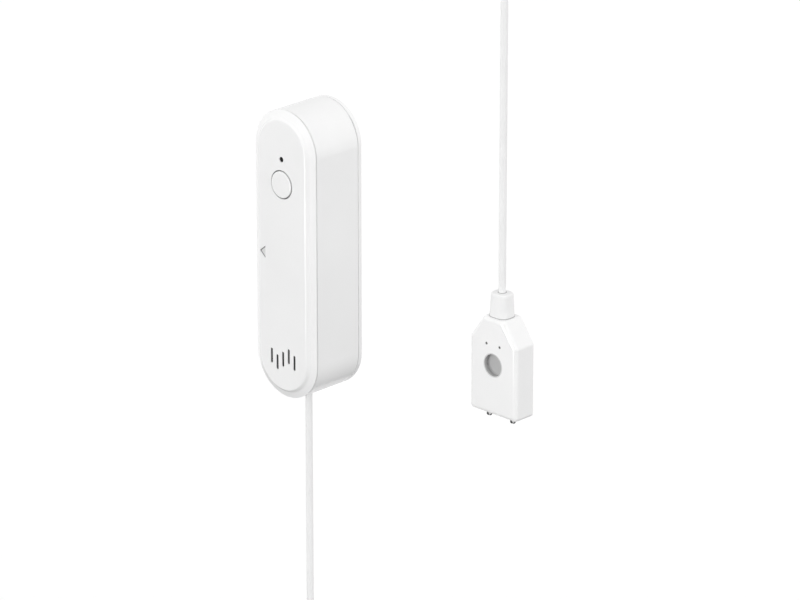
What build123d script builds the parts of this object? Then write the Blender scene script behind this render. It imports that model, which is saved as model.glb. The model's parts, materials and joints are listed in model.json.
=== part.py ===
from build123d import *
import math
import os

# Water leak detector: a wall pod with a test button, a sounder and two cells, and a
# probe with contact pins that hangs on the pod's cord.
# Millimetres. X runs to the right, Z up, and the wall is the plane Y = 0. "Depth" is
# the distance from the wall towards the front, which is minus Y.

# Pod shell
pod_width = 28.9
pod_height = 103.6
pod_depth = 24.5
wall = 1.6
rear_plate_thick = 1.9
rear_edge_radius = 0.9
edge_round = 0.3
seam_gap = 0.25
rear_seam_gap = 0.15
pad_proud = 0.3
pad_sunk = 0.5
pad_edge = 3.5
pad_gap = 0.2

# Front cover
rim_inset = 3.2
rim_depth = 2.4
rim_step_inset = 0.9
rim_step_depth = 1.1
rim_band = 0.35
rim_edge_radius = 0.65
rim_hollow_radius = 1.2
rim_foot_radius = 0.2
cover_thick = 1.6
skirt_length = 2.0
skirt_thick = 1.0
skirt_gap = 0.2
button_below_top = 26.0
indicator_below_top = 17.0
slots_above_bottom = 14.3
slot_width = 1.0
slot_length = 5.5
slot_pitch = 2.77
slot_step = 1.67
slot_steps = (0, -1, 0, 1, 0)
arrow_from_face_edge = 0.35
arrow_width = 2.7
arrow_height = 4.4
arrow_depth = 1.1
arrow_z = -0.4
screen_thick = 0.8
screen_margin = 1.2
screen_rib_gap = 0.05
screen_recess = 0.2

# Test button and indicator
button_diameter = 9.4
button_gap = 0.12
gasket_thick = 0.3
gasket_recess = 0.3
button_proud = 0.35
button_flange = 1.0
button_flange_thick = 0.9
button_edge_radius = 0.35
button_travel = 0.5
stem_diameter = 3.0
running_gap = 0.3
lens_diameter = 1.9
lens_recess = 0.25
lens_flange_diameter = 3.4
lens_flange_thick = 0.8

# Cover seal and the ledge that carries it
seal_thick = 1.1
seal_squeeze_gap = 0.1
seal_side_gap = 0.1
ledge_width = 1.6
ledge_thick = 1.0

# Cells and their holder
cell_diameter = 10.5
cell_length = 44.5
cell_nub_diameter = 3.8
cell_nub_height = 0.8
cell_gap = 0.2
cell_seat_gap = 0.15
cells_centre_z = -2.0
holder_floor = 0.8
holder_cradle_height = 3.5
holder_end_wall = 1.2
holder_end_height = 10.0
holder_side_gap = 0.2
contact_thick = 0.4
contact_size = 6.6
spring_room = 3.0
spring_wire = 0.5
spring_radius = 2.6
spring_turns = 2.5

# Rear plate's lip and posts
lip_height = 1.2
lip_thick = 1.0
lip_gap = 0.1
post_diameter = 4.4
post_from_end = 11.5
pilot_diameter = 1.6
pilot_depth = 6.0

# Circuit board and what it carries
board_thick = 1.2
board_width = 21.0
board_end_gap = 3.0
board_over_cells = 0.5
board_hole_gap = 0.2
screw_shank_diameter = 1.5
screw_length = 5.5
screw_head_diameter = 3.0
screw_head_height = 1.1
screw_slot_width = 0.5
screw_slot_depth = 0.5
screw_sounder_gap = 0.1
switch_size = 6.0
switch_body_height = 0.8
switch_plunger_diameter = 3.2
switch_plunger_height = 0.25
led_length = 3.2
led_width = 1.6
led_height = 1.1
sounder_diameter = 12.0
sounder_gap = 1.4
sounder_port_diameter = 2.0
sounder_port_depth = 1.2
radio_width = 12.0
radio_height = 16.0
radio_thick = 2.2
radio_z = 2.0
connector_width = 7.0
connector_height = 6.0
connector_thick = 4.0
connector_above_bottom = 12.0

# Cord and its grommet
cord_diameter = 2.5
cord_off_middle = 0.05
cord_depth = pod_depth / 2 + cord_off_middle
lead_diameter = 2.0
lead_gap = 0.2
grommet_diameter = 4.4
grommet_gap = 0.1
grommet_flange = 1.1
grommet_flange_thick = 1.2
grommet_proud = 0.2
grommet_pad = 9.0
grommet_pad_height = 1.0

# Probe
probe_x = 91.3
probe_top_z = -0.2
probe_width = 21.1
probe_height = 34.2
probe_depth = 8.5
probe_shoulder_width = 6.0
probe_shoulder_height = 8.3
probe_edge_radius = 1.4
probe_rear_edge_radius = 0.4
collar_width = 8.2
collar_depth = 7.4
collar_height = 8.2
collar_sink = 2.0
collar_taper = 0.6
collar_corner_radius = 3.0
collar_edge_radius = 0.8
cup_diameter = 8.5
cup_wall = 0.4
cup_depth = 1.6
cup_floor = 0.6
cup_below_top = 16.5
drip_diameter = 1.0
drip_pitch = 5.9
drip_below_top = 9.4
drip_length = 3.0
drip_recess = 0.1
pin_diameter = 2.0
pin_pitch = 10.7
pin_proud = 2.7
pin_tip_radius = 0.9
pin_seat = 6.0
pin_flange_diameter = 2.6
pin_flange_thick = 0.3

# Cord clips
clip_length = 5.0
clip_base_height = 12.0
clip_base_thick = 2.0
clip_post_height = 4.5
clip_ring_diameter = 5.5
clip_cord_gap = 0.1
clip_slit = 1.6

# Cord route in the plane of the cord, as (x, z) from the pod's base to the probe
grommet_end_z = -pod_height / 2 - grommet_proud
collar_top_z = probe_top_z + collar_height
cord_route = [
    (0.0, grommet_end_z),
    (0.0, -150.0),
    (20.0, -187.0),
    (60.0, -202.0),
    (109.0, -198.0),
    (157.0, -177.0),
    (197.0, -141.0),
    (223.0, -93.0),
    (231.0, -37.0),
    (231.5, 20.0),
    (230.5, 76.0),
    (229.5, 128.0),
    (207.0, 161.0),
    (164.0, 165.0),
    (123.0, 158.0),
    (probe_x, 129.0),
    (probe_x, collar_top_z),
]
clipped_runs = (13, 14)
arc_share = 0.45

# Places worked out from the sizes above
seam_depth = pod_depth - rim_depth
rear_plate_front = pad_proud + rear_plate_thick
housing_back = rear_plate_front + rear_seam_gap
housing_front = seam_depth - seam_gap
cover_inner = pod_depth - cover_thick
rim_step_foot = pod_depth - rim_step_depth
skirt_end = housing_front - skirt_length
bore_width = pod_width - 2 * wall
bore_height = pod_height - 2 * wall
skirt_width = bore_width - 2 * skirt_gap
skirt_height = bore_height - 2 * skirt_gap
face_width = pod_width - 2 * rim_inset
face_height = pod_height - 2 * rim_inset
button_z = pod_height / 2 - button_below_top
button_hole = button_diameter + 2 * (button_gap + gasket_thick)
indicator_z = pod_height / 2 - indicator_below_top
slots_z = -pod_height / 2 + slots_above_bottom
first_slot_x = -slot_pitch * (len(slot_steps) - 1) / 2
slot_spots = [
    (first_slot_x + number * slot_pitch, slots_z + step * slot_step)
    for number, step in enumerate(slot_steps)
]
seal_front = skirt_end - seal_squeeze_gap
seal_back = seal_front - seal_thick
ledge_back = seal_back - ledge_thick
cell_depth = rear_plate_front + holder_floor + cell_seat_gap + cell_diameter / 2
cell_x = (cell_diameter + cell_gap) / 2
board_back = cell_depth + cell_diameter / 2 + board_over_cells
board_front = board_back + board_thick
board_height = bore_height - 2 * board_end_gap
post_x = (sounder_diameter + screw_head_diameter) / 2 + screw_sounder_gap
post_z = pod_height / 2 - post_from_end
post_spots = [(sx * post_x, sz * post_z) for sx in (-1, 1) for sz in (-1, 1)]
plunger_front = board_front + switch_body_height + switch_plunger_height
stem_end = plunger_front + button_travel + running_gap
flange_front = cover_inner - running_gap
lens_flange_front = cover_inner
sounder_front = cover_inner - sounder_gap
lip_width = bore_width - 2 * lip_gap
lip_outer_height = bore_height - 2 * lip_gap
holder_width = lip_width - 2 * lip_thick - 2 * holder_side_gap
cell_bay = cell_length + spring_room + 2 * contact_thick
connector_z = -pod_height / 2 + connector_above_bottom
pad_top_z = -bore_height / 2 + grommet_pad_height
grommet_top_z = pad_top_z + grommet_flange_thick
grommet_flange_diameter = grommet_diameter + 2 * grommet_flange
connector_low_z = connector_z - connector_height / 2
probe_front = cord_depth + probe_depth / 2
probe_base_z = probe_top_z - probe_height
cup_z = probe_top_z - cup_below_top
drip_z = probe_top_z - drip_below_top


def at_depth(depth):
    """The upright plane at a depth, facing the front, with the row's X and Z."""
    return Plane.XZ.offset(depth)


def prism(sketch, back, front):
    """A sketch in X and Z carried from one depth to another."""
    return extrude(at_depth(back) * sketch, amount=front - back)


def stadium(width, height):
    """An upright outline with half-round ends."""
    return SlotOverall(height, width, rotation=90)


def stadium_ring(width, height, thick, back, front):
    """A wall of one thickness that follows the stadium outline."""
    outer = prism(stadium(width, height), back, front)
    return outer - prism(stadium(width - 2 * thick, height - 2 * thick), back, front)


def rod(diameter, x, z, back, front):
    """A round rod that points at the front."""
    return prism(Pos(x, z) * Circle(diameter / 2), back, front)


def upright(diameter, x, depth, low, high):
    """A round rod along Z."""
    base = (Align.CENTER, Align.CENTER, Align.MIN)
    return Pos(x, -depth, low) * Cylinder(diameter / 2, high - low, align=base)


def block(width, height, x, z, back, front):
    """A plain block between two depths."""
    return prism(Pos(x, z) * Rectangle(width, height), back, front)


def front_edges(solid):
    """The edges of the face nearest the front."""
    return solid.faces().sort_by(Axis.Y)[0].edges()


def rear_edges(solid):
    """The edges of the face nearest the wall."""
    return solid.faces().sort_by(Axis.Y)[-1].edges()


def make_front_cover():
    step_width = face_width + 2 * rim_step_inset
    step_height = face_height + 2 * rim_step_inset
    band = at_depth(seam_depth + rim_band) * stadium(pod_width, pod_height)
    step = at_depth(rim_step_foot) * stadium(step_width, step_height)
    face = at_depth(pod_depth) * stadium(face_width, face_height)
    cover = prism(stadium(pod_width, pod_height), seam_depth, seam_depth + rim_band)
    cover += loft([band, step], ruled=True) + loft([step, face], ruled=True)
    hollow_line = cover.edges().filter_by_position(Axis.Y, -rim_step_foot, -rim_step_foot)
    cover = fillet(hollow_line, rim_hollow_radius)
    cover = fillet(front_edges(cover), rim_edge_radius)
    cover = fillet(rear_edges(cover), rim_foot_radius)
    cover += prism(stadium(skirt_width, skirt_height), skirt_end, seam_depth)
    hollow = stadium(skirt_width - 2 * skirt_thick, skirt_height - 2 * skirt_thick)
    cover -= prism(hollow, skirt_end, cover_inner)
    cover -= rod(button_hole, 0, button_z, cover_inner, pod_depth)
    cover -= rod(lens_diameter, 0, indicator_z, cover_inner, pod_depth)
    for x, z in slot_spots:
        slot = Pos(x, z) * SlotOverall(slot_length, slot_width, rotation=90)
        cover -= prism(slot, cover_inner, pod_depth)
    return cover - make_arrow_pocket()


def make_arrow_pocket():
    """A sunk arrow head that is deepest at its tip and runs out to the face at its base."""
    tip = -face_width / 2 + arrow_from_face_edge
    base = tip + arrow_width
    half = arrow_height / 2
    outline = Polygon((tip, arrow_z), (base, arrow_z - half), (base, arrow_z + half), align=None)
    slope = math.degrees(math.atan2(arrow_depth, arrow_width))
    above_floor = Box(pod_width, pod_width, pod_width, align=(Align.MAX, Align.MAX, Align.CENTER))
    above_floor = Pos(base, -pod_depth, 0) * Rot(0, 0, -slope) * above_floor
    return prism(outline, pod_depth - arrow_depth, pod_depth) & above_floor


def make_sounder_screen():
    """A dark screen behind the slots, with a rib in each slot that stops short of the face."""
    width = slot_pitch * (len(slot_steps) - 1) + slot_width + 2 * screen_margin
    height = slot_length + 2 * slot_step + 2 * screen_margin
    screen = block(width, height, 0, slots_z, cover_inner - screen_thick, cover_inner)
    rib_length = slot_length - 2 * screen_rib_gap
    rib_width = slot_width - 2 * screen_rib_gap
    for x, z in slot_spots:
        rib = Pos(x, z) * SlotOverall(rib_length, rib_width, rotation=90)
        screen += prism(rib, cover_inner, pod_depth - screen_recess)
    return screen


def make_main_housing():
    outer = prism(stadium(pod_width, pod_height), housing_back, housing_front)
    outer = fillet(front_edges(outer) + rear_edges(outer), edge_round)
    bore = prism(stadium(bore_width, bore_height), housing_back, housing_front)
    ledge = stadium_ring(bore_width, bore_height, ledge_width, ledge_back, seal_back)
    half_pad = grommet_pad / 2
    pad_low_z = -bore_height / 2 - wall / 2
    pad_middle = (pad_low_z + pad_top_z) / 2
    pad_size = pad_top_z - pad_low_z
    pad = block(grommet_pad, pad_size, 0, pad_middle, cord_depth - half_pad, cord_depth + half_pad)
    hole = upright(grommet_diameter + 2 * grommet_gap, 0, cord_depth, -pod_height / 2, pad_top_z)
    flange_room = grommet_flange_diameter + 2 * grommet_gap
    ledge -= upright(flange_room, 0, cord_depth, pad_top_z, grommet_top_z)
    return outer - bore + ledge + pad - hole


def make_rear_plate():
    plate = prism(stadium(pod_width, pod_height), pad_proud, rear_plate_front)
    plate = fillet(front_edges(plate), edge_round)
    plate = fillet(rear_edges(plate), rear_edge_radius)
    lip_front = rear_plate_front + lip_height
    plate += stadium_ring(lip_width, lip_outer_height, lip_thick, rear_plate_front, lip_front)
    for x, z in post_spots:
        plate += rod(post_diameter, x, z, rear_plate_front, board_back)
        plate -= rod(pilot_diameter, x, z, board_back - pilot_depth, board_back)
    pad_room = stadium(pod_width - 2 * pad_edge, pod_height - 2 * pad_edge)
    return plate - prism(pad_room, pad_proud, pad_proud + pad_sunk)


def make_mount_pad():
    """The sticky foam pad, let into the rear plate and a little proud of it."""
    inset = pad_edge + pad_gap
    return prism(stadium(pod_width - 2 * inset, pod_height - 2 * inset), 0, pad_proud + pad_sunk)


def make_test_button():
    flange_back = flange_front - button_flange_thick
    cap = rod(button_diameter, 0, button_z, flange_back, pod_depth + button_proud)
    cap = fillet(front_edges(cap), button_edge_radius)
    cap += rod(button_hole + 2 * button_flange, 0, button_z, flange_back, flange_front)
    return cap + rod(stem_diameter, 0, button_z, stem_end, flange_back)


def make_button_gasket():
    front = pod_depth - gasket_recess
    ring = rod(button_hole, 0, button_z, cover_inner, front)
    return ring - rod(button_hole - 2 * gasket_thick, 0, button_z, cover_inner, front)


def make_indicator_lens():
    flange_back = lens_flange_front - lens_flange_thick
    lens = rod(lens_flange_diameter, 0, indicator_z, flange_back, lens_flange_front)
    return lens + rod(lens_diameter, 0, indicator_z, flange_back, pod_depth - lens_recess)


def make_cover_seal():
    width = bore_width - 2 * seal_side_gap
    height = bore_height - 2 * seal_side_gap
    return stadium_ring(width, height, ledge_width - 2 * seal_side_gap, seal_back, seal_front)


def make_circuit_board():
    board = prism(stadium(board_width, board_height), board_back, board_front)
    for x, z in post_spots:
        board -= rod(screw_shank_diameter + 2 * board_hole_gap, x, z, board_back, board_front)
    lead_room = lead_diameter + 2 * lead_gap
    return board - upright(lead_room, 0, cord_depth, -board_height / 2, connector_low_z)


def make_board_screws():
    screws = []
    for x, z in post_spots:
        head_front = board_front + screw_head_height
        screw = rod(screw_head_diameter, x, z, board_front, head_front)
        screw = fillet(front_edges(screw), screw_head_height / 4)
        screw += rod(screw_shank_diameter, x, z, board_front - screw_length, board_front)
        slot_back = head_front - screw_slot_depth
        slot_span = screw_head_diameter / 2
        screw -= block(slot_span, screw_slot_width, x, z, slot_back, head_front)
        screw -= block(screw_slot_width, slot_span, x, z, slot_back, head_front)
        screws.append(screw)
    return Compound(children=screws)


def make_tact_switch():
    body_front = board_front + switch_body_height
    switch = block(switch_size, switch_size, 0, button_z, board_front, body_front)
    return switch + rod(switch_plunger_diameter, 0, button_z, body_front, plunger_front)


def make_indicator_led():
    led = block(led_length, led_width, 0, indicator_z, board_front, board_front + led_height)
    return fillet(front_edges(led), led_height / 4)


def make_sounder():
    can = rod(sounder_diameter, 0, slots_z, board_front, sounder_front)
    can = fillet(front_edges(can), sounder_port_depth / 2)
    return can - rod(sounder_port_diameter, 0, slots_z, sounder_front - sounder_port_depth, sounder_front)


def make_radio_module():
    can = block(radio_width, radio_height, 0, radio_z, board_front, board_front + radio_thick)
    return chamfer(front_edges(can), radio_thick / 6)


def make_cord_connector():
    back = board_back - connector_thick
    return block(connector_width, connector_height, 0, connector_z, back, board_back)


def make_battery_holder():
    floor_back = rear_plate_front
    cradle_front = floor_back + holder_cradle_height
    holder = block(holder_width, cell_bay, 0, cells_centre_z, floor_back, cradle_front)
    bottom = cells_centre_z - cell_bay / 2
    top = cells_centre_z + cell_bay / 2
    for side in (-1, 1):
        seat = cell_diameter + 2 * cell_seat_gap
        holder -= upright(seat, side * cell_x, cell_depth, bottom, top)
        end_z = cells_centre_z + side * (cell_bay + holder_end_wall) / 2
        end_front = floor_back + holder_end_height
        holder += block(holder_width, holder_end_wall, 0, end_z, floor_back, end_front)
    return holder


def make_battery_cells():
    cells = []
    for side in (-1, 1):
        # The left cell points up and the right cell down, each against its own plate.
        nub_end = cells_centre_z - side * (cell_bay / 2 - contact_thick)
        shoulder = nub_end + side * cell_nub_height
        tail = nub_end + side * cell_length
        can = upright(cell_diameter, side * cell_x, cell_depth, min(shoulder, tail), max(shoulder, tail))
        can = fillet(can.edges().filter_by(GeomType.CIRCLE), cell_nub_height / 2)
        low, high = min(shoulder, nub_end), max(shoulder, nub_end)
        cells.append(can + upright(cell_nub_diameter, side * cell_x, cell_depth, low, high))
    return Compound(children=cells)


def make_contact_plates():
    plates = []
    back = cell_depth - contact_size / 2
    front = cell_depth + contact_size / 2
    for side in (-1, 1):
        for end in (-1, 1):
            z = cells_centre_z + end * (cell_bay - contact_thick) / 2
            plates.append(block(contact_size, contact_thick, side * cell_x, z, back, front))
    return Compound(children=plates)


def make_contact_springs():
    springs = []
    height = spring_room - spring_wire
    for side in (-1, 1):
        plate_z = cells_centre_z + side * (cell_bay / 2 - contact_thick)
        low = min(plate_z, plate_z - side * spring_room) + spring_wire / 2
        start = (side * cell_x, -cell_depth, low)
        coil = Helix(height / spring_turns, height, spring_radius, center=start)
        section = Plane(origin=coil @ 0, z_dir=coil % 0) * Circle(spring_wire / 2)
        springs.append(sweep(section, path=coil, is_frenet=True))
    return Compound(children=springs)


def make_cord_grommet():
    grommet = upright(grommet_diameter, 0, cord_depth, grommet_end_z, pad_top_z)
    grommet += upright(grommet_flange_diameter, 0, cord_depth, pad_top_z, grommet_top_z)
    return grommet - upright(lead_diameter, 0, cord_depth, grommet_end_z, grommet_top_z)


def make_cord_lead():
    return upright(lead_diameter, 0, cord_depth, grommet_end_z, connector_low_z)


def route_point(number):
    x, z = cord_route[number]
    return Vector(x, -cord_depth, z)


def corner_radius(number):
    """The arc at a point of the route that takes up its share of the shorter of the two runs."""
    before = route_point(number) - route_point(number - 1)
    after = route_point(number + 1) - route_point(number)
    half_turn = math.radians(before.get_angle(after)) / 2
    return arc_share * min(before.length, after.length) / math.tan(half_turn)


def make_sensor_cord():
    points = [route_point(number) for number in range(len(cord_route))]
    radii = [corner_radius(number) for number in range(1, len(cord_route) - 1)]
    path = FilletPolyline(*points, radius=radii)
    section = Plane(origin=path @ 0, z_dir=path % 0) * Circle(cord_diameter / 2)
    cord = sweep(section, path=path)
    print("cord radii", [round(radius, 1) for radius in radii])
    ratio = cord.volume / (math.pi * cord_diameter ** 2 / 4 * path.length)
    print("cord length", round(path.length, 1), "volume over section times length", round(ratio, 4))
    return cord


def make_probe_blank():
    """The probe's outer form, before anything is let into it."""
    half = probe_width / 2
    flat = half - probe_shoulder_width
    shoulder_z = probe_top_z - probe_shoulder_height
    right = [(half, probe_base_z), (half, shoulder_z), (flat, probe_top_z)]
    left = [(-x, z) for x, z in reversed(right)]
    outline = Pos(probe_x, 0) * Polygon(*right, *left, align=None)
    body = prism(outline, probe_front - probe_depth, probe_front)
    body = fillet(body.edges().filter_by(Axis.Y), probe_edge_radius)
    body = fillet(front_edges(body), probe_edge_radius)
    return fillet(rear_edges(body), probe_rear_edge_radius)


def make_probe_body():
    body = make_probe_blank()
    body -= rod(cup_diameter, probe_x, cup_z, probe_front - cup_depth - cup_floor, probe_front)
    for side in (-1, 1):
        drip_x = probe_x + side * drip_pitch / 2
        body -= rod(drip_diameter, drip_x, drip_z, probe_front - drip_length, probe_front)
        pin_x = probe_x + side * pin_pitch / 2
        body -= upright(pin_diameter, pin_x, cord_depth, probe_base_z, probe_base_z + pin_seat)
    return body


def make_recess_cup():
    back = probe_front - cup_depth - cup_floor
    floor_front = back + cup_floor
    cup = rod(cup_diameter, probe_x, cup_z, back, probe_front)
    return cup - rod(cup_diameter - 2 * cup_wall, probe_x, cup_z, floor_front, probe_front)


def make_drip_contacts():
    back = probe_front - drip_length
    front = probe_front - drip_recess
    spots = [probe_x + side * drip_pitch / 2 for side in (-1, 1)]
    return Compound(children=[rod(drip_diameter, x, drip_z, back, front) for x in spots])


def make_probe_pins():
    pins = []
    for side in (-1, 1):
        x = probe_x + side * pin_pitch / 2
        tip = probe_base_z - pin_proud
        pin = upright(pin_diameter, x, cord_depth, tip, probe_base_z + pin_seat)
        pin = fillet(pin.edges().sort_by(Axis.Z)[0], pin_tip_radius)
        flange_low = probe_base_z - pin_flange_thick
        pin += upright(pin_flange_diameter, x, cord_depth, flange_low, probe_base_z)
        pins.append(pin)
    return Compound(children=pins)


def make_cord_collar():
    foot_z = probe_top_z - collar_sink
    foot = Plane.XY.offset(foot_z) * RectangleRounded(collar_width, collar_depth, collar_corner_radius)
    top_width = collar_width - 2 * collar_taper
    top_depth = collar_depth - 2 * collar_taper
    top_radius = collar_corner_radius - collar_taper
    top = Plane.XY.offset(collar_top_z) * RectangleRounded(top_width, top_depth, top_radius)
    collar = Pos(probe_x, -cord_depth, 0) * loft([foot, top], ruled=True)
    collar = fillet(collar.faces().sort_by(Axis.Z)[-1].edges(), collar_edge_radius)
    return collar - make_probe_blank()


def make_cord_clip(run):
    """A one-piece clip that stands on the wall and holds the middle of one run."""
    start = route_point(run)
    end = route_point(run + 1)
    middle = (start + end) * 0.5
    along = (end - start).normalized()
    tilt = math.degrees(math.atan2(along.Z, along.X))
    ring_width = clip_ring_diameter
    hole_diameter = cord_diameter + 2 * clip_cord_gap
    lying = Rot(0, 90, 0)
    base = Pos(0, -clip_base_thick / 2, 0) * Box(clip_length, clip_base_thick, clip_base_height)
    base = fillet(base.edges().filter_by(Axis.Y), clip_length / 4)
    post_length = cord_depth - clip_base_thick
    post_middle = -clip_base_thick - post_length / 2
    clip = base + Pos(0, post_middle, 0) * Box(clip_length, post_length, clip_post_height)
    clip += Pos(0, -cord_depth, 0) * lying * Cylinder(ring_width / 2, clip_length)
    clip -= Pos(0, -cord_depth, 0) * lying * Cylinder(hole_diameter / 2, clip_length)
    slit_middle = -cord_depth - ring_width / 2
    clip -= Pos(0, slit_middle, 0) * Box(clip_length, ring_width, clip_slit)
    return Pos(middle.X, 0, middle.Z) * Rot(0, -tilt, 0) * clip


pieces = {
    "front_cover": make_front_cover(),
    "main_housing": make_main_housing(),
    "rear_plate": make_rear_plate(),
    "mount_pad": make_mount_pad(),
    "test_button": make_test_button(),
    "button_gasket": make_button_gasket(),
    "indicator_lens": make_indicator_lens(),
    "sounder_screen": make_sounder_screen(),
    "cover_seal": make_cover_seal(),
    "circuit_board": make_circuit_board(),
    "board_screws": make_board_screws(),
    "tact_switch": make_tact_switch(),
    "indicator_led": make_indicator_led(),
    "sounder": make_sounder(),
    "radio_module": make_radio_module(),
    "cord_connector": make_cord_connector(),
    "battery_holder": make_battery_holder(),
    "battery_cells": make_battery_cells(),
    "contact_plates": make_contact_plates(),
    "contact_springs": make_contact_springs(),
    "cord_grommet": make_cord_grommet(),
    "cord_lead": make_cord_lead(),
    "sensor_cord": make_sensor_cord(),
    "probe_body": make_probe_body(),
    "recess_cup": make_recess_cup(),
    "drip_contacts": make_drip_contacts(),
    "probe_pins": make_probe_pins(),
    "cord_collar": make_cord_collar(),
}
for order, run in enumerate(clipped_runs, start=1):
    pieces[f"cord_clip_{order}"] = make_cord_clip(run)

os.makedirs("parts", exist_ok=True)
for name, piece in pieces.items():
    export_step(piece, f"parts/{name}.step")
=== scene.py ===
# Looks of the water leak detector: a white wall pod, its cord and its probe.
# Metres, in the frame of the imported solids: +Z up, the front faces -Y.
import json
import math

import bmesh
import bpy
from mathutils import Matrix, Vector


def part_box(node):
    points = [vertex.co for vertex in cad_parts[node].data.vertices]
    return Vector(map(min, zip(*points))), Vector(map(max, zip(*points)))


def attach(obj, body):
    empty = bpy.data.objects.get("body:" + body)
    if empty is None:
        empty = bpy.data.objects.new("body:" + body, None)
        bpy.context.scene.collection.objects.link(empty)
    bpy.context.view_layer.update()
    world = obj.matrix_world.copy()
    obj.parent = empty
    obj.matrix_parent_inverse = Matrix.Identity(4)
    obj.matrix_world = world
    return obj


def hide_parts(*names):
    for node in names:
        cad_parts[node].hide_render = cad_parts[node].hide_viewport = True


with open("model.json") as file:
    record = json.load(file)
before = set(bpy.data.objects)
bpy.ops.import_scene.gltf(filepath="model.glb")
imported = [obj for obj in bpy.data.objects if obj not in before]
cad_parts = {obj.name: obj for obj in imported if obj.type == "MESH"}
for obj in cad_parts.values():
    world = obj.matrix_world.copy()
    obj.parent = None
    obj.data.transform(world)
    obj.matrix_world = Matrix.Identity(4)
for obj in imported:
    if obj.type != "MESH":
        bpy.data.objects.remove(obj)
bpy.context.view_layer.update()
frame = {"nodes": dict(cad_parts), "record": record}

MM = 0.001

# The photograph's view
PHOTO_WIDTH = 800
PHOTO_HEIGHT = 600
VIEW_AZIMUTH = 44.6
VIEW_ELEVATION = 20.8
SENSOR_WIDTH_MM = 36.0
LENS_MM = 225.0
PIXELS_PER_METRE = 2918.0
ORIGIN_PIXEL = (333.5, 238.8)
VIEW_REACH = 100.0

# Light and floor
FLOOR_BELOW_CORD = 0.03
FLOOR_SIZE = 30.0
FLOOR_SEEN = 1.0
FLOOR_BOUNCE = 0.46
FLOOR_ROUGH = 0.9
AMBIENT = 0.88
# A lamp that isn't mirrored lights the pieces and doesn't show in their gloss
LAMPS = {
    "key_light": {"from": (-0.25, -0.95, 0.0), "strength": 2.07, "angle": 44.0, "mirrored": False},
    "side_light": {"from": (0.97, 0.10, 0.05), "strength": 1.72, "angle": 60.0, "mirrored": True},
}
SHEEN_PLACE = (-0.18, -0.56, -0.16)
SHEEN_SIZE = (0.13, 0.14)
SHEEN_POWER = 1.8
CARDS = {"card_1": {"bearing": -30.0, "width": 0.7}, "card_2": {"bearing": 135.0, "width": 0.5}}
CARD_CENTRE_X = 0.05
CARD_NEAR = 0.05
CARD_FAR = 0.85
CARD_ABOVE_FLOOR = 0.002
CARD_TONE = 0.05

# Cord
CORD_DIAMETER = 2.5 * MM
CORD_Y = -12.3 * MM
CORD_STEPS = 24
CORD_ROUND_STEPS = 8
CORD_SPLINE_ORDER = 3
PROBE_X_MM = 91.3
CORD_ROUTE_MM = [
    (0.0, -52.0),
    (0.0, -108.0),
    (0.0, -150.0),
    (20.0, -187.0),
    (60.0, -202.0),
    (109.0, -198.0),
    (157.0, -177.0),
    (197.0, -141.0),
    (223.0, -93.0),
    (231.0, -37.0),
    (231.5, 20.0),
    (230.5, 76.0),
    (229.5, 128.0),
    (207.0, 161.0),
    (164.0, 165.0),
    (123.0, 158.0),
    (PROBE_X_MM, 129.0),
    (PROBE_X_MM, 89.0),
    (PROBE_X_MM, 8.0),
]

# Arrow mark on the cover: a grey wedge, darkened along its two leading edges as painted shade
ARROW_TIP_X = -10.9 * MM
ARROW_LENGTH = 2.7 * MM
ARROW_HEIGHT = 4.4 * MM
ARROW_Z = -0.4 * MM
ARROW_CLEAR = 0.03 * MM
ARROW_TIP_SUNK = 0.16 * MM
ARROW_THICK = 0.02 * MM
# Painted shade: the tone along the arrow's two leading edges, fading into the grey over this band
ARROW_EDGE_SHADE_WIDTH = (0.22 * MM, 0.5 * MM)
ARROW_EDGE_PAINTED_SHADE = 0.12
ARROW_FILL = 0.62
ARROW_ROUGH = 0.6

# Grey rings at the two ends of the probe's collar: painted shade where the collar meets the probe and where
# the cord enters it
COLLAR_SHADE_RING = 0.25 * MM
COLLAR_SHADE_RING_PROUD = 0.12 * MM
COLLAR_CORNER = 3.1 * MM
COLLAR_CORNER_STEPS = 10
CORD_SHADE_RING_PROUD = 0.3 * MM
CORD_SHADE_RING_EDGE = COLLAR_SHADE_RING / 3

# Grey cup in the probe's recess, with painted light making its walls paler towards its mouth
CUP_FLOOR = 0.6 * MM
CUP_MOUTH_PAINTED_LIGHT = 0.60

# Small parts on the board: sizes across, up and out from it, and places across and up
PART_MARGIN = 0.3 * MM
PART_SINK = 0.08 * MM
PART_EDGE = 0.08 * MM
CHIP_SIZE = (6.0 * MM, 6.0 * MM, 1.2 * MM)
CHIP_PLACE = (0.0, 16.4 * MM)
LEG_SIZE = (0.5 * MM, 0.3 * MM, 0.16 * MM)
LEG_DROP = 0.5 * MM
LEG_SPLAY = LEG_DROP / 3
LEG_FOOT = 0.4 * MM
LEG_PITCH = 0.65 * MM
LEGS_A_SIDE = 8
CAN_RADIUS = 2.5 * MM
CAN_HEIGHT = 4.6 * MM
CAN_BASE = (5.4 * MM, 5.4 * MM, 0.7 * MM)
CAN_PLACE = (5.0 * MM, -13.0 * MM)
CRYSTAL_SIZE = (5.0 * MM, 3.2 * MM, 1.1 * MM)
CRYSTAL_PLACE = (-5.0 * MM, -12.0 * MM)
BEAD_SIZE = (1.0 * MM, 0.8 * MM, 0.5 * MM)
BEAD_END = 0.35 * MM
BEAD_EDGE = 0.08 * MM
BEAD_PLACES_MM = [
    (-6.5, 19.0, 90.0),
    (-6.5, 15.5, 90.0),
    (6.5, 18.0, 90.0),
    (6.5, 14.5, 90.0),
    (-7.5, -17.0, 0.0),
    (-4.5, -17.0, 0.0),
    (-7.5, -19.0, 0.0),
    (-4.5, -19.0, 0.0),
    (0.0, -13.0, 90.0),
    (0.0, -17.0, 90.0),
    (2.5, -19.5, 0.0),
    (5.5, -19.5, 0.0),
    (-3.0, 29.5, 0.0),
    (3.0, 38.0, 0.0),
]

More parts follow.
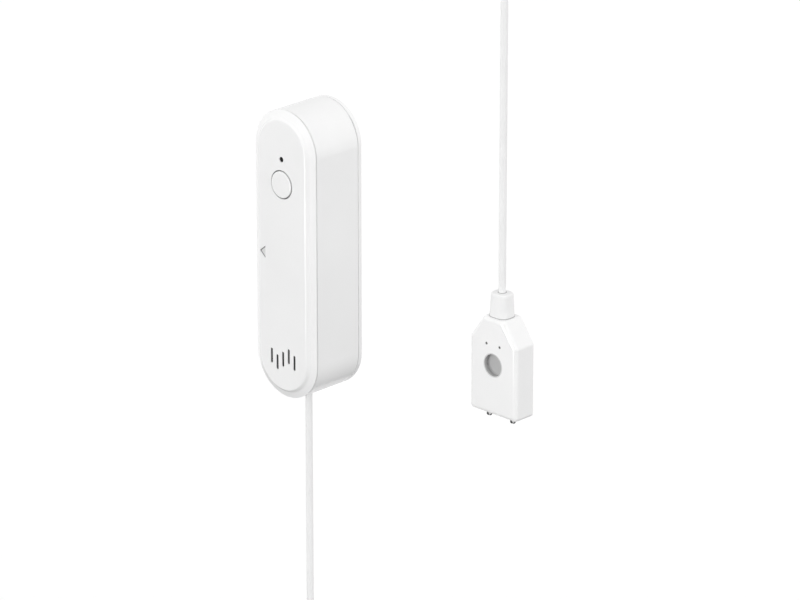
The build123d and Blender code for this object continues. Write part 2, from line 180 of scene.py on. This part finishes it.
# How pieces are modelled: least share of a normal along its axis, smoothing in degrees, steps of curves
FACING = 0.9
SMOOTH_ANGLE = 40.0
ROUND_STEPS = 48
EDGE_STEPS = 2

# What all finishes share
TONE_STOPS = (0.3, 0.7)
GRAIN_SHARE = 0.4
GRAIN_DETAIL = 2.0
DRIFT_DETAIL = 3.0
BUMP_STRENGTH = 0.5

# Tracks under the board's resist, in centimetres where the scale is 100
TRACK_PATTERN = {
    "Scale": 100.0,
    "Brick Width": 1.3,
    "Row Height": 0.16,
    "Mortar Size": 0.02,
    "Mortar Smooth": 0.1,
}
TRACK_TONE = (0.05, 0.24, 0.11)


def grey(value):
    """A neutral colour."""
    return (value, value, value)


# Finishes: dark and light tone, range of roughness, scale of the grain and of the drift, and bump in metres
FINISH_TABLE = {
    "white_plastic": (grey(0.845), grey(0.865), (0.19, 0.26), 6000, 45, 0.00001),
    "white_rubber": (grey(0.80), grey(0.83), (0.42, 0.55), 4000, 90, 0.00002),
    # This black rubber also dresses the ring behind the button's gap; its darkness there is partly painted
    # shade for the gap
    "black_rubber": (grey(0.10), grey(0.13), (0.55, 0.7), 4000, 200, 0.00001),
    "foam_pad": (grey(0.42), grey(0.52), (0.8, 0.95), 2500, 900, 0.00004),
    "smoked_lens": (grey(0.008), grey(0.012), (0.08, 0.14), 3000, 300, 0.000002),
    "grey_rubber": (grey(0.22), grey(0.28), (0.6, 0.75), 3000, 120, 0.00002),
    "board_green": ((0.015, 0.11, 0.045), (0.02, 0.16, 0.07), (0.3, 0.4), 2500, 300, 0.00001),
    "steel": (grey(0.58), grey(0.68), (0.22, 0.34), 3000, 200, 0.000005),
    # This black also dresses the sounder screen, whose ribs sit in the cover's slots; their darkness there
    # is partly painted shade for the slots
    "black_plastic": (grey(0.018), grey(0.026), (0.42, 0.55), 5000, 80, 0.00001),
    "led_body": ((0.8, 0.8, 0.72), (0.85, 0.85, 0.78), (0.2, 0.3), 3000, 200, 0.000005),
    "ivory_plastic": ((0.68, 0.64, 0.53), (0.74, 0.70, 0.60), (0.4, 0.5), 4000, 100, 0.00001),
    "cell_sleeve": ((0.06, 0.13, 0.22), (0.08, 0.16, 0.27), (0.2, 0.3), 3000, 60, 0.000005),
    "grey_plastic": (grey(0.40), grey(0.43), (0.4, 0.5), 5000, 150, 0.00001),
    "cup_grey_with_painted_light": (grey(0.38), grey(0.41), (0.4, 0.5), 5000, 150, 0.00001),
    "dark_contact": (grey(0.07), grey(0.10), (0.3, 0.45), 4000, 500, 0.000005),
    "bright_pin": (grey(0.55), grey(0.68), (0.05, 0.10), 3000, 400, 0.000002),
}
METALS = ("steel", "dark_contact", "bright_pin")
PLAIN_GLOSS = 0.5
LOW_GLOSS = {"white_rubber": 0.25, "black_plastic": 0.1}


# Shader groups and finishes

def new_group(name, inputs, outputs):
    """An empty shader group with float inputs (name, default) and typed outputs (name, type)."""
    group = bpy.data.node_groups.new(name, "ShaderNodeTree")
    for label, default in inputs:
        socket = group.interface.new_socket(label, in_out="INPUT", socket_type="NodeSocketFloat")
        socket.default_value = default
    for label, kind in outputs:
        group.interface.new_socket(label, in_out="OUTPUT", socket_type=kind)
    entry = group.nodes.new("NodeGroupInput")
    leave = group.nodes.new("NodeGroupOutput")
    return group, entry, leave


def add_noise(tree, vector, scale, detail):
    """A noise texture on a vector output. The scale is a number or another node's output."""
    noise = tree.nodes.new("ShaderNodeTexNoise")
    noise.inputs["Detail"].default_value = detail
    tree.links.new(vector, noise.inputs["Vector"])
    if isinstance(scale, (int, float)):
        noise.inputs["Scale"].default_value = scale
    else:
        tree.links.new(scale, noise.inputs["Scale"])
    return noise


def add_math(tree, operation, first, second):
    """A maths node. Each value is a number or another node's output."""
    node = tree.nodes.new("ShaderNodeMath")
    node.operation = operation
    for socket, value in zip(node.inputs, (first, second)):
        if isinstance(value, (int, float)):
            socket.default_value = value
        else:
            tree.links.new(value, socket)
    return node.outputs["Value"]


def add_range(tree, value, low, high, start=0.0, stop=1.0):
    """Maps start..stop to low..high. Low and high are numbers or another node's output."""
    node = tree.nodes.new("ShaderNodeMapRange")
    node.inputs["From Min"].default_value = start
    node.inputs["From Max"].default_value = stop
    tree.links.new(value, node.inputs["Value"])
    for label, limit in (("To Min", low), ("To Max", high)):
        if isinstance(limit, (int, float)):
            node.inputs[label].default_value = limit
        else:
            tree.links.new(limit, node.inputs[label])
    return node.outputs["Result"]


def object_axes(tree):
    """The place of a point on its piece, as X, Y and Z outputs."""
    axes = tree.nodes.new("ShaderNodeSeparateXYZ")
    place = tree.nodes.new("ShaderNodeTexCoord").outputs["Object"]
    tree.links.new(place, axes.inputs["Vector"])
    return axes.outputs


def seen_rays(tree):
    """One for rays that show a surface to the eye, also in gloss and glass, and nought for light."""
    rays = tree.nodes.new("ShaderNodeLightPath").outputs
    seen = add_math(tree, "MAXIMUM", rays["Is Camera Ray"], rays["Is Glossy Ray"])
    return add_math(tree, "MAXIMUM", seen, rays["Is Transmission Ray"])


def build_moulded_grain():
    """Fine spark-eroded grain, with a slow drift in tone and gloss over the moulding."""
    inputs = [("Grain Scale", 5000.0), ("Drift Scale", 40.0), ("Rough Low", 0.38), ("Rough High", 0.48)]
    outputs = [("Height", "NodeSocketFloat"), ("Drift", "NodeSocketFloat"), ("Roughness", "NodeSocketFloat")]
    group, entry, leave = new_group("moulded_grain", inputs, outputs)
    place = group.nodes.new("ShaderNodeTexCoord").outputs["Object"]
    grain = add_noise(group, place, entry.outputs["Grain Scale"], GRAIN_DETAIL)
    drift = add_noise(group, place, entry.outputs["Drift Scale"], DRIFT_DETAIL)
    fine = add_math(group, "MULTIPLY", grain.outputs["Fac"], GRAIN_SHARE)
    slow = add_math(group, "MULTIPLY", drift.outputs["Fac"], 1.0 - GRAIN_SHARE)
    blend = add_math(group, "ADD", fine, slow)
    rough = add_range(group, blend, entry.outputs["Rough Low"], entry.outputs["Rough High"])
    group.links.new(grain.outputs["Fac"], leave.inputs["Height"])
    group.links.new(drift.outputs["Fac"], leave.inputs["Drift"])
    group.links.new(rough, leave.inputs["Roughness"])
    return group


MOULDED_GRAIN = build_moulded_grain()


def new_material(name):
    """A material with an empty tree, a Principled shader and its output."""
    material = bpy.data.materials.new(name)
    material.use_nodes = True
    tree = material.node_tree
    tree.nodes.clear()
    shader = tree.nodes.new("ShaderNodeBsdfPrincipled")
    output = tree.nodes.new("ShaderNodeOutputMaterial")
    tree.links.new(shader.outputs["BSDF"], output.inputs["Surface"])
    return material, tree, shader


def moulded(name, dark, light, rough, grain_scale, drift_scale, bump):
    """A moulded or plated finish: two close tones, uneven gloss and a fine grain."""
    material, tree, shader = new_material(name)
    grain = tree.nodes.new("ShaderNodeGroup")
    grain.node_tree = MOULDED_GRAIN
    values = (("Grain Scale", grain_scale), ("Drift Scale", drift_scale))
    values += (("Rough Low", rough[0]), ("Rough High", rough[1]))
    for label, value in values:
        grain.inputs[label].default_value = value
    ramp = tree.nodes.new("ShaderNodeValToRGB")
    for stop, position, tone in zip(ramp.color_ramp.elements, TONE_STOPS, (dark, light)):
        stop.position = position
        stop.color = (*tone, 1.0)
    tree.links.new(grain.outputs["Drift"], ramp.inputs["Fac"])
    tree.links.new(ramp.outputs["Color"], shader.inputs["Base Color"])
    tree.links.new(grain.outputs["Roughness"], shader.inputs["Roughness"])
    relief = tree.nodes.new("ShaderNodeBump")
    relief.inputs["Strength"].default_value = BUMP_STRENGTH
    relief.inputs["Distance"].default_value = bump
    tree.links.new(grain.outputs["Height"], relief.inputs["Height"])
    tree.links.new(relief.outputs["Normal"], shader.inputs["Normal"])
    shader.inputs["Metallic"].default_value = 1.0 if name in METALS else 0.0
    shader.inputs["Specular IOR Level"].default_value = LOW_GLOSS.get(name, PLAIN_GLOSS)
    return material


def tint(material, share, tone):
    """Mixes another tone into a finish, by a share that changes over the surface."""
    tree = material.node_tree
    base_color = tree.nodes["Principled BSDF"].inputs["Base Color"]
    mix = tree.nodes.new("ShaderNodeMix")
    mix.data_type = "RGBA"
    tree.links.new(share, mix.inputs["Factor"])
    tree.links.new(base_color.links[0].from_socket, mix.inputs["A"])
    mix.inputs["B"].default_value = (*tone, 1.0)
    tree.links.new(mix.outputs["Result"], base_color)


def paint_light_towards_mouth(material, mouth_y, floor_y, tone):
    """Painted light on a recess: its colour grows paler from its floor out to its mouth."""
    tree = material.node_tree
    share = add_range(tree, object_axes(tree)["Y"], 1.0, 0.0, mouth_y, floor_y)
    tint(material, share, tone)


def add_tracks(material):
    """Makes solder resist paler over the tracks beneath it, which run along the board."""
    tree = material.node_tree
    axes = object_axes(tree)
    flat = tree.nodes.new("ShaderNodeCombineXYZ")
    tree.links.new(axes["Z"], flat.inputs["X"])
    tree.links.new(axes["X"], flat.inputs["Y"])
    lines = tree.nodes.new("ShaderNodeTexBrick")
    tree.links.new(flat.outputs["Vector"], lines.inputs["Vector"])
    for label, value in TRACK_PATTERN.items():
        lines.inputs[label].default_value = value
    tint(material, lines.outputs["Fac"], TRACK_TONE)


FINISHES = {name: moulded(name, *values) for name, values in FINISH_TABLE.items()}
add_tracks(FINISHES["board_green"])


def dress(piece, material):
    """Gives a piece one material."""
    piece.data.materials.clear()
    piece.data.materials.append(material)


for entry in frame["record"]["subparts"]:
    dress(frame["nodes"][entry["node"]], FINISHES[entry["material_slot"]])
cup_front, cup_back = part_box("recess_cup")
# Painted light: the cup's walls grow paler from its floor out to its mouth
paint_light_towards_mouth(FINISHES["cup_grey_with_painted_light"], cup_front.y, cup_back.y - CUP_FLOOR, grey(CUP_MOUTH_PAINTED_LIGHT))
dress(frame["nodes"]["recess_cup"], FINISHES["cup_grey_with_painted_light"])


# Soft pieces: the cord


def make_cord():
    """The cord as one smooth curve from the pod's base to the probe's collar."""
    curve = bpy.data.curves.new("cord_jacket", "CURVE")
    curve.dimensions = "3D"
    curve.resolution_u = CORD_STEPS
    curve.bevel_depth = CORD_DIAMETER / 2
    curve.bevel_resolution = CORD_ROUND_STEPS
    curve.use_fill_caps = True
    line = curve.splines.new("NURBS")
    line.points.add(len(CORD_ROUTE_MM) - 1)
    for point, (x, z) in zip(line.points, CORD_ROUTE_MM):
        point.co = (x * MM, CORD_Y, z * MM, 1.0)
    line.order_u = CORD_SPLINE_ORDER
    line.use_endpoint_u = True
    line.resolution_u = CORD_STEPS
    cord = bpy.data.objects.new("cord_jacket", curve)
    bpy.context.scene.collection.objects.link(cord)
    dress(cord, FINISHES["white_rubber"])
    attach(cord, "pod")
    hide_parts("sensor_cord")
    x, z = CORD_ROUTE_MM[0]


make_cord()


# Modelled pieces

def start_piece(add, name, **place):
    """Adds one primitive with nothing else selected."""
    bpy.ops.object.select_all(action="DESELECT")
    add(**place)
    piece = bpy.context.object
    piece.name = name
    piece.data.name = name
    return piece


def start_block(name, size, centre):
    """A box of a size, with its place in its mesh."""
    piece = start_piece(bpy.ops.mesh.primitive_cube_add, name, size=1.0, location=centre)
    piece.scale = size
    bpy.ops.object.transform_apply(location=True, rotation=True, scale=True)
    return piece


def open_faces(piece, wanted):
    """Opens a piece in edit mode with only the wanted faces selected."""
    bpy.ops.object.mode_set(mode="EDIT")
    bpy.ops.mesh.select_mode(type="FACE")
    bpy.ops.mesh.select_all(action="DESELECT")
    shape = bmesh.from_edit_mesh(piece.data)
    for face in shape.faces:
        face.select_set(wanted(face))
    bmesh.update_edit_mesh(piece.data)


def faces_front(face):
    """Whether a face looks at the front."""
    return face.normal.y < -FACING


def sink_front(piece, margin, depth):
    """Insets the front face by a margin and sinks it by a depth."""
    open_faces(piece, faces_front)
    bpy.ops.mesh.inset(thickness=margin, depth=0.0)
    bpy.ops.transform.translate(value=(0.0, depth, 0.0))
    bpy.ops.object.mode_set(mode="OBJECT")


def round_edges(piece, width):
    """Bevels the sharp edges and smooths what is left."""
    bevel = piece.modifiers.new("rounding", "BEVEL")
    bevel.width = width
    bevel.segments = EDGE_STEPS
    bpy.ops.object.modifier_apply(modifier=bevel.name)
    bpy.ops.object.shade_smooth_by_angle(angle=math.radians(SMOOTH_ANGLE))


def copy_to(piece, moves):
    """Puts a piece where the first move takes it and a copy where each other one does, all joined."""
    copies = [piece]
    for _ in moves[1:]:
        bpy.ops.object.select_all(action="DESELECT")
        piece.select_set(True)
        bpy.context.view_layer.objects.active = piece
        bpy.ops.object.duplicate()
        copies.append(bpy.context.object)
    for copy, move in zip(copies, moves):
        copy.matrix_world = move
        copy.select_set(True)
    bpy.context.view_layer.objects.active = piece
    bpy.ops.object.transform_apply(location=True, rotation=True, scale=True)
    bpy.ops.object.join()


def turned(degrees, x, z):
    """A turn about the line through x and z that runs straight out from the board."""
    middle = Matrix.Translation((x, 0.0, z))
    return middle @ Matrix.Rotation(math.radians(degrees), 4, "Y") @ middle.inverted()


def seat(piece, slot, body="pod"):
    """Gives a finished piece its body and the finish named by a slot."""
    dress(piece, FINISHES[slot])
    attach(piece, body)


def make_arrow_grey_and_painted_shade():
    """Grey for the sunk arrow head, with painted shade darkening it along its two leading edges."""
    material, tree, shader = new_material("arrow_grey_with_painted_shade")
    axes = object_axes(tree)
    edge = math.hypot(ARROW_LENGTH, ARROW_HEIGHT / 2)
    along = add_math(tree, "SUBTRACT", axes["X"], ARROW_TIP_X)
    aside = add_math(tree, "SUBTRACT", axes["Z"], ARROW_Z)
    aside = add_math(tree, "ABSOLUTE", aside, 0.0)
    along = add_math(tree, "MULTIPLY", along, ARROW_HEIGHT / 2 / edge)
    aside = add_math(tree, "MULTIPLY", aside, ARROW_LENGTH / edge)
    inward = add_math(tree, "SUBTRACT", along, aside)
    # Painted shade: darker near the two leading edges, grey further in
    tone = add_range(tree, inward, ARROW_EDGE_PAINTED_SHADE, ARROW_FILL, *ARROW_EDGE_SHADE_WIDTH)
    tree.links.new(tone, shader.inputs["Base Color"])
    shader.inputs["Roughness"].default_value = ARROW_ROUGH
    return material


def make_arrow():
    """A grey wedge in the cover's arrow pocket, flush at its base and sunk at its tip, with painted shade
    along its leading edges.

    It starts as a three-sided rod. Its tip lies two thirds of the arrow's length from its middle.
    """
    face_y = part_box("front_cover")[0].y
    length = ARROW_LENGTH - 2 * ARROW_CLEAR
    height = ARROW_HEIGHT - 2 * ARROW_CLEAR
    reach = length * 2 / 3
    centre = (ARROW_TIP_X + ARROW_CLEAR + reach, face_y + ARROW_THICK, ARROW_Z)
    # The rod's own X, Y and Z point up, left and to the front
    turn = Matrix(((0, -1, 0), (0, 0, -1), (1, 0, 0))).to_euler()
    add = bpy.ops.mesh.primitive_cylinder_add
    arrow = start_piece(add, "arrow_mark", vertices=3, radius=1.0, depth=1.0, location=centre, rotation=turn)
    arrow.scale = (height / math.sqrt(3.0), reach, ARROW_THICK)
    bpy.ops.object.transform_apply(location=True, rotation=True, scale=True)
    bpy.ops.object.mode_set(mode="EDIT")
    bpy.ops.mesh.select_mode(type="VERT")
    bpy.ops.mesh.select_all(action="DESELECT")
    shape = bmesh.from_edit_mesh(arrow.data)
    for corner in shape.verts:
        corner.select_set(corner.co.x < centre[0])
    bmesh.update_edit_mesh(arrow.data)
    bpy.ops.transform.translate(value=(0.0, ARROW_TIP_SUNK, 0.0))
    bpy.ops.object.mode_set(mode="OBJECT")
    seat(arrow, "grey_plastic", "cover")
    dress(arrow, make_arrow_grey_and_painted_shade())


def make_collar_painted_shade():
    """Thin grey rings, as painted shade where the collar meets the probe and where the cord enters the
    collar.
    """
    low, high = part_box("cord_collar")
    middle = (low + high) / 2
    probe_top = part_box("probe_body")[1].z
    proud = 2 * COLLAR_SHADE_RING_PROUD
    size = (high.x - low.x + proud, high.y - low.y + proud, COLLAR_SHADE_RING)
    # Painted shade: a grey ring round the collar's foot, on the probe's top
    foot = start_block("collar_foot_painted_shade", size, (middle.x, middle.y, probe_top + COLLAR_SHADE_RING / 2))
    bpy.ops.object.mode_set(mode="EDIT")
    bpy.ops.mesh.select_mode(type="EDGE")
    bpy.ops.mesh.select_all(action="DESELECT")
    shape = bmesh.from_edit_mesh(foot.data)
    for edge in shape.edges:
        first, second = edge.verts
        edge.select_set(abs(first.co.z - second.co.z) > COLLAR_SHADE_RING / 2)
    bmesh.update_edit_mesh(foot.data)
    bpy.ops.mesh.bevel(offset=COLLAR_CORNER, segments=COLLAR_CORNER_STEPS)
    bpy.ops.object.mode_set(mode="OBJECT")
    seat(foot, "grey_plastic")
    # Painted shade: a grey ring round the cord where it enters the collar
    mouth = start_piece(
        bpy.ops.mesh.primitive_cylinder_add,
        "cord_mouth_painted_shade",
        vertices=ROUND_STEPS,
        radius=CORD_DIAMETER / 2 + CORD_SHADE_RING_PROUD,
        depth=COLLAR_SHADE_RING,
        location=(PROBE_X_MM * MM, CORD_Y, high.z),
    )
    bpy.ops.object.transform_apply(location=True, rotation=True, scale=True)
    round_edges(mouth, CORD_SHADE_RING_EDGE)
    seat(mouth, "grey_plastic")


def on_board(place, out):
    """The point at a place on the board, some way out from its front."""
    return (place[0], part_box("circuit_board")[0].y - out, place[1])


def make_chip():
    """A square chip with a row of bent legs on each side. One leg is modelled, then a row, then all four."""
    across, up, out = CHIP_SIZE
    chip = start_block("control_chip", (across, out, up), on_board(CHIP_PLACE, out / 2))
    sink_front(chip, PART_MARGIN, PART_SINK)
    round_edges(chip, PART_EDGE)
    seat(chip, "black_plastic")
    length, width, thick = LEG_SIZE
    root_x = CHIP_PLACE[0] + across / 2
    root_z = CHIP_PLACE[1] - LEG_PITCH * (LEGS_A_SIDE - 1) / 2
    root = on_board((root_x, root_z), LEG_DROP + thick / 2)
    legs = start_block("chip_legs", (length, thick, width), root)
    open_faces(legs, lambda face: face.normal.x > FACING)
    for step in ((LEG_SPLAY, LEG_DROP, 0.0), (LEG_FOOT, 0.0, 0.0)):
        bpy.ops.mesh.extrude_region_move(TRANSFORM_OT_translate={"value": step})
    bpy.ops.object.mode_set(mode="OBJECT")
    row = legs.modifiers.new("row", "ARRAY")
    row.count = LEGS_A_SIDE
    row.use_relative_offset = False
    row.use_constant_offset = True
    row.constant_offset_displace = (0.0, 0.0, LEG_PITCH)
    bpy.ops.object.modifier_apply(modifier=row.name)
    copy_to(legs, [turned(quarter * 90.0, *CHIP_PLACE) for quarter in range(4)])
    seat(legs, "steel")


def make_can():
    """A capacitor can on its square foot."""
    across, up, out = CAN_BASE
    foot = start_block("can_foot", (across, out, up), on_board(CAN_PLACE, out / 2))
    sink_front(foot, PART_MARGIN, PART_SINK)
    round_edges(foot, PART_EDGE)
    seat(foot, "black_plastic")
    can = start_piece(
        bpy.ops.mesh.primitive_cylinder_add,
        "capacitor_can",
        vertices=ROUND_STEPS,
        radius=CAN_RADIUS,
        depth=CAN_HEIGHT,
        location=on_board(CAN_PLACE, out - PART_SINK + CAN_HEIGHT / 2),
        rotation=(math.radians(90.0), 0.0, 0.0),
    )
    bpy.ops.object.transform_apply(location=True, rotation=True, scale=True)
    sink_front(can, PART_MARGIN, PART_SINK)
    round_edges(can, PART_EDGE)
    seat(can, "steel")


def make_crystal():
    """A low crystal can with a flange around its raised lid."""
    across, up, out = CRYSTAL_SIZE
    crystal = start_block("crystal_can", (across, out / 2, up), on_board(CRYSTAL_PLACE, out / 4))
    open_faces(crystal, faces_front)
    bpy.ops.mesh.inset(thickness=PART_MARGIN, depth=0.0)
    bpy.ops.mesh.extrude_region_move(TRANSFORM_OT_translate={"value": (0.0, -out / 2, 0.0)})
    bpy.ops.object.mode_set(mode="OBJECT")
    round_edges(crystal, PART_EDGE)
    seat(crystal, "steel")


def make_beads():
    """The smallest parts: a pale middle between two plated ends. Each shape is modelled once and copied."""
    across, up, out = BEAD_SIZE
    centre = on_board((0.0, 0.0), out / 2)
    moves = []
    for x, z, turn in BEAD_PLACES_MM:
        moves.append(Matrix.Translation((x * MM, 0.0, z * MM)) @ turned(turn, 0.0, 0.0))
    middles = start_block("bead_middles", (across, out, up), centre)
    sink_front(middles, BEAD_EDGE, -BEAD_EDGE / 2)
    round_edges(middles, BEAD_EDGE / 2)
    copy_to(middles, moves)
    seat(middles, "ivory_plastic")
    end_size = (BEAD_END, out + BEAD_EDGE, up + BEAD_EDGE)
    end_place = on_board((-across / 2, 0.0), (out + BEAD_EDGE) / 2)
    ends = start_block("bead_ends", end_size, end_place)
    sink_front(ends, BEAD_EDGE, -BEAD_EDGE / 2)
    round_edges(ends, BEAD_EDGE / 2)
    copy_to(ends, [move @ turned(half, 0.0, 0.0) for move in moves for half in (0.0, 180.0)])
    seat(ends, "steel")


make_arrow()
make_collar_painted_shade()
make_chip()
make_can()
make_crystal()
make_beads()


# Floor, light and camera

def make_floor():
    """A plain floor, white to the eye and greyer in the light that it throws back."""
    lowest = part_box("sensor_cord")[0].z
    bpy.ops.object.select_all(action="DESELECT")
    bpy.ops.mesh.primitive_plane_add(size=FLOOR_SIZE, location=(0, 0, lowest - FLOOR_BELOW_CORD))
    floor = bpy.context.object
    floor.name = "floor"
    bpy.ops.object.transform_apply(location=True)
    material, tree, shader = new_material("floor_paper")
    tone = tree.nodes.new("ShaderNodeMix")
    tone.data_type = "RGBA"
    tone.inputs["A"].default_value = (*grey(FLOOR_BOUNCE), 1.0)
    tone.inputs["B"].default_value = (*grey(FLOOR_SEEN), 1.0)
    tree.links.new(seen_rays(tree), tone.inputs["Factor"])
    tree.links.new(tone.outputs["Result"], shader.inputs["Base Color"])
    shader.inputs["Roughness"].default_value = FLOOR_ROUGH
    shader.inputs["Specular IOR Level"].default_value = 0.0
    dress(floor, material)


def make_cards():
    """Dark cards on the floor at both sides, which only show as reflections."""
    card_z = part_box("sensor_cord")[0].z - FLOOR_BELOW_CORD + CARD_ABOVE_FLOOR
    material, _, shader = new_material("card_paper")
    shader.inputs["Base Color"].default_value = (*grey(CARD_TONE), 1.0)
    shader.inputs["Roughness"].default_value = 1.0
    middle = (CARD_NEAR + CARD_FAR) / 2
    for name, shape in CARDS.items():
        turn = math.radians(shape["bearing"])
        place = (CARD_CENTRE_X + middle * math.sin(turn), -middle * math.cos(turn), card_z)
        bpy.ops.object.select_all(action="DESELECT")
        bpy.ops.mesh.primitive_plane_add(size=1.0, location=place, rotation=(0.0, 0.0, turn))
        card = bpy.context.object
        card.name = name
        card.scale = (shape["width"], CARD_FAR - CARD_NEAR, 1.0)
        bpy.ops.object.transform_apply(location=True, rotation=True, scale=True)
        card.visible_camera = False
        card.visible_diffuse = False
        card.visible_shadow = False
        card.visible_transmission = False
        dress(card, material)


def make_world():
    """A white world, a little dimmer as a light."""
    world = bpy.data.worlds.new("studio")
    bpy.context.scene.world = world
    world.use_nodes = True
    tree = world.node_tree
    tree.nodes.clear()
    level = add_range(tree, seen_rays(tree), AMBIENT, 1.0)
    background = tree.nodes.new("ShaderNodeBackground")
    output = tree.nodes.new("ShaderNodeOutputWorld")
    tree.links.new(level, background.inputs["Strength"])
    tree.links.new(background.outputs["Background"], output.inputs["Surface"])
    background.inputs["Color"].default_value = (1.0, 1.0, 1.0, 1.0)


def make_lamps():
    """Soft suns, each from its own side."""
    for name, lamp in LAMPS.items():
        bpy.ops.object.light_add(type="SUN")
        light = bpy.context.object
        light.name = name
        light.data.energy = lamp["strength"]
        light.data.angle = math.radians(lamp["angle"])
        light.visible_glossy = lamp["mirrored"]
        light.rotation_mode = "QUATERNION"
        light.rotation_quaternion = Vector(lamp["from"]).to_track_quat("Z", "Y")


def make_sheen():
    """A soft panel in front, low down, that only shows as a sheen on rounded edges."""
    bpy.ops.object.light_add(type="AREA", location=SHEEN_PLACE)
    light = bpy.context.object
    light.name = "sheen_panel"
    light.data.shape = "RECTANGLE"
    light.data.size, light.data.size_y = SHEEN_SIZE
    light.data.energy = SHEEN_POWER
    light.rotation_mode = "QUATERNION"
    light.rotation_quaternion = Vector(SHEEN_PLACE).to_track_quat("Z", "Y")
    light.visible_camera = False
    light.visible_diffuse = False
    light.visible_transmission = False


def make_camera():
    """The photograph's camera, moved across and up until the origin falls on its pixel."""
    azimuth = math.radians(VIEW_AZIMUTH)
    elevation = math.radians(VIEW_ELEVATION)
    across = Vector((math.cos(azimuth), math.sin(azimuth), 0.0))
    level = math.cos(elevation)
    back = Vector((math.sin(azimuth) * level, -math.cos(azimuth) * level, math.sin(elevation)))
    upward = back.cross(across)
    focal_pixels = LENS_MM / SENSOR_WIDTH_MM * PHOTO_WIDTH
    aside = (PHOTO_WIDTH / 2 - ORIGIN_PIXEL[0]) / PIXELS_PER_METRE
    above = (ORIGIN_PIXEL[1] - PHOTO_HEIGHT / 2) / PIXELS_PER_METRE
    bpy.ops.object.camera_add()
    camera = bpy.context.object
    camera.data.lens = LENS_MM
    camera.data.sensor_width = SENSOR_WIDTH_MM
    camera.data.clip_end = VIEW_REACH
    camera.location = back * focal_pixels / PIXELS_PER_METRE + across * aside + upward * above
    camera.rotation_mode = "QUATERNION"
    camera.rotation_quaternion = Matrix((across, upward, back)).transposed().to_quaternion()
    bpy.context.scene.camera = camera


make_floor()
make_cards()
make_world()
make_lamps()
make_sheen()
make_camera()
bpy.context.scene.view_settings.view_transform = "Standard"
